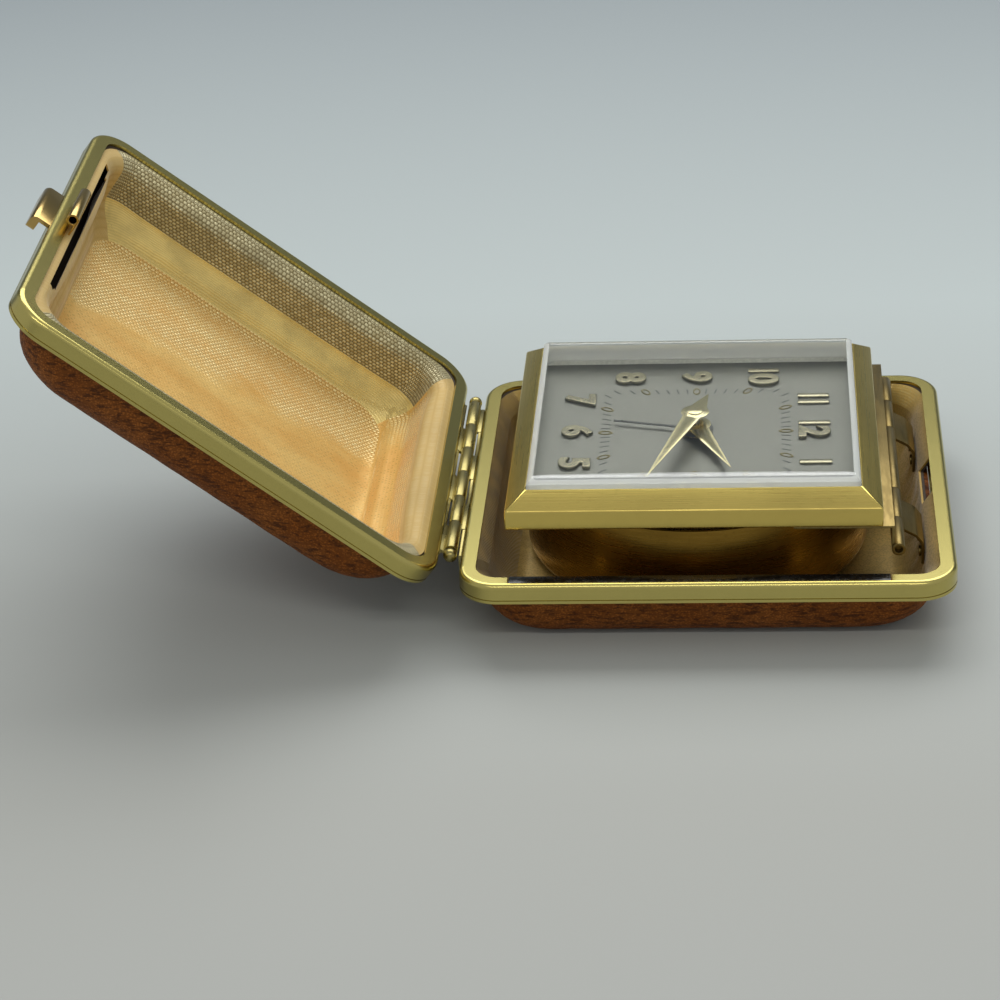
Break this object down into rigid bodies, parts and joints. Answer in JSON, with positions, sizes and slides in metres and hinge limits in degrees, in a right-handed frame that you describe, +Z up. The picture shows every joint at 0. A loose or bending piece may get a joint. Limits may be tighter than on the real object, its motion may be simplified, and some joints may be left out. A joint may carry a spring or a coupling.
{
  "type": "folding travel alarm clock",
  "caption": "Leather covered folding case with brass rims, a hinged lid with a push clasp, and a square wind-up alarm clock that swings out of the tray on its own hinge.",
  "frame": {"origin": "middle of the tray's flat underside, which rests on the table", "axes": "+X away from the lid along the case's length, +Y towards the back, +Z up"},
  "size_m": [0.1503, 0.0746, 0.065],
  "materials": {
    "leather": "pebble grained tan",
    "case_shell": "plain sheet under the leather",
    "lining": "gold satin",
    "brass": "polished",
    "bezel_brass": "brushed",
    "hinge_brass": "satin",
    "clasp_gilt": "polished rose gilt",
    "steel": "satin",
    "crystal": "clear",
    "dial_silver": "silvered",
    "hand_gilt": "polished gilt",
    "black": "gloss black",
    "movement_brass": "plain"
  },
  "bodies": {
    "tray": {"tray_skin": "leather", "tray_shell": "case_shell", "tray_lining": "lining", "tray_rim": "brass", "tray_hinge_leaf": "hinge_brass", "case_hinge_pin": "hinge_brass", "front_strap": "hinge_brass", "back_strap": "hinge_brass", "strap_rivet_1": "hinge_brass", "strap_rivet_2": "hinge_brass", "strap_rivet_3": "hinge_brass", "strap_rivet_4": "hinge_brass"},
    "lid": {"lid_skin": "leather", "lid_shell": "case_shell", "lid_lining": "lining", "lid_rim": "brass", "lid_hinge_leaf": "hinge_brass"},
    "clasp": {"clasp_tab": "clasp_gilt", "clasp_catch": "clasp_gilt", "clasp_spring": "steel", "clasp_rivet_1": "clasp_gilt", "clasp_rivet_2": "clasp_gilt"},
    "head": {"bezel": "bezel_brass", "crystal": "crystal", "dial_spacer": "dial_silver", "dial": "dial_silver", "dial_frame": "movement_brass", "drum_cover": "hinge_brass", "head_hinge_leaf": "hinge_brass", "head_hinge_pin": "steel", "front_plate": "movement_brass", "back_plate": "movement_brass", "time_barrel": "movement_brass", "alarm_barrel": "movement_brass", "pillar_1": "movement_brass", "pillar_2": "movement_brass", "pillar_3": "movement_brass", "pillar_4": "movement_brass"},
    "minute": {"centre_arbor": "steel", "minute_hand": "hand_gilt", "time_set_knob": "brass"},
    "minute_reduction": {"minute_wheel": "movement_brass"},
    "hour": {"hour_wheel": "movement_brass", "hour_hand": "hand_gilt"},
    "alarm": {"alarm_wheel": "movement_brass", "alarm_hand": "black"},
    "alarm_setting": {"alarm_set_arbor": "steel", "alarm_set_knob": "brass"},
    "time_winding": {"time_winding_arbor": "steel", "time_key": "brass"},
    "alarm_winding": {"alarm_winding_arbor": "steel", "alarm_key": "brass"},
    "alarm_stop": {"alarm_stop_button": "brass"},
    "regulator": {"regulator_lever": "steel"}
  },
  "joints": [
    {"name": "lid_hinge", "type": "hinge", "parent": "tray", "child": "lid", "pos_m": [-0.04163, 0, 0.0132], "axis": [0, -1, 0], "range_deg": [-141.5, 0]},
    {"name": "clasp_slide", "type": "slide", "parent": "lid", "child": "clasp", "axis": [0.7826, 0, -0.6225], "range_m": [0, 0.0015], "stiffness_N_per_m": 200},
    {"name": "head_hinge", "type": "hinge", "parent": "tray", "child": "head", "pos_m": [0.03067, 0, 0.015], "axis": [0, 1, 0], "range_deg": [0, 110]},
    {"name": "minute_spin", "type": "hinge", "parent": "head", "child": "minute", "pos_m": [-0.00203, 0, 0], "axis": [0, 0, -1], "continuous": true},
    {"name": "minute_wheel_spin", "type": "hinge", "parent": "head", "child": "minute_reduction", "pos_m": [-0.01049, -0.00308, 0], "axis": [0, 0, -1], "continuous": true},
    {"name": "hour_spin", "type": "hinge", "parent": "head", "child": "hour", "pos_m": [-0.00203, 0, 0], "axis": [0, 0, -1], "continuous": true},
    {"name": "alarm_set_spin", "type": "hinge", "parent": "head", "child": "alarm_setting", "pos_m": [0.0088, 0.00394, 0], "axis": [0, 0, -1], "continuous": true},
    {"name": "alarm_hand_spin", "type": "hinge", "parent": "head", "child": "alarm", "pos_m": [-0.00203, 0, 0], "axis": [0, 0, -1], "continuous": true},
    {"name": "time_winding_spin", "type": "hinge", "parent": "head", "child": "time_winding", "pos_m": [-0.00906, 0.01003, 0], "axis": [0, 0, -1], "continuous": true},
    {"name": "alarm_winding_spin", "type": "hinge", "parent": "head", "child": "alarm_winding", "pos_m": [-0.00949, -0.01065, 0], "axis": [0, 0, -1], "continuous": true},
    {"name": "alarm_stop_push", "type": "slide", "parent": "head", "child": "alarm_stop", "axis": [0, 0, 1], "range_m": [0, 0.001], "stiffness_N_per_m": 150},
    {"name": "regulator_swing", "type": "hinge", "parent": "head", "child": "regulator", "pos_m": [0.00478, 0.0128, 0], "axis": [0, 0, 1], "range_deg": [-20, 20]}
  ],
  "couplings": [
    {"joint": "minute_wheel_spin", "follows": "minute_spin", "ratio": -0.33333},
    {"joint": "hour_spin", "follows": "minute_spin", "ratio": 0.083333},
    {"joint": "alarm_hand_spin", "follows": "alarm_set_spin", "ratio": -0.33333}
  ]
}
